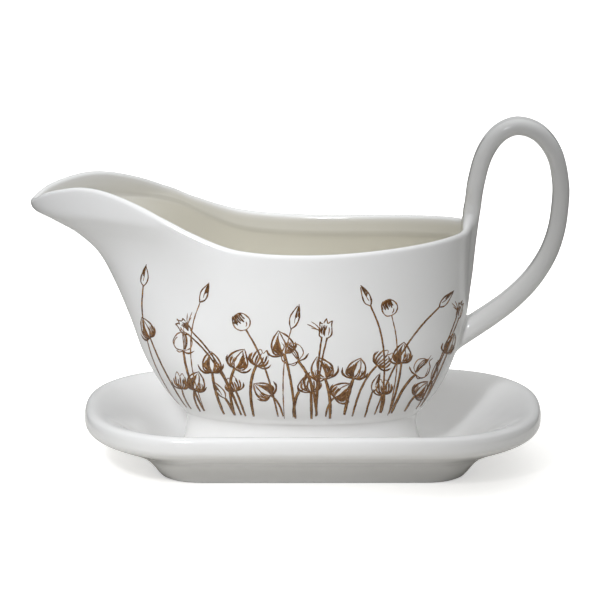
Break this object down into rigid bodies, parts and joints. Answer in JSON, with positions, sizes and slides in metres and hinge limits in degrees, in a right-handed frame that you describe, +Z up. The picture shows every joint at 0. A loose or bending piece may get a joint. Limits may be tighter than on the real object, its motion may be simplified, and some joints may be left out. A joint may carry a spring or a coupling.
{
  "type": "gravy boat",
  "caption": "Glazed ceramic gravy boat with a long pouring lip and a high looped handle, lifting off its oblong rolled-rim stand.",
  "frame": {"origin": "middle of the stand's foot on the table", "axes": "+X from the spout to the handle, +Z up"},
  "size_m": [0.2213, 0.121, 0.1453],
  "materials": {
    "stand_glaze": "gloss white glaze",
    "boat_glaze": "gloss white glaze with a sepia printed pattern"
  },
  "bodies": {
    "stand": {"stand": "stand_glaze"},
    "boat": {"bowl": "boat_glaze", "foot_ring": "boat_glaze", "handle": "boat_glaze"}
  },
  "joints": [
    {"name": "boat_lift", "type": "slide", "parent": "stand", "child": "boat", "axis": [0, 0, 1], "range_m": [0, 0.08]}
  ]
}
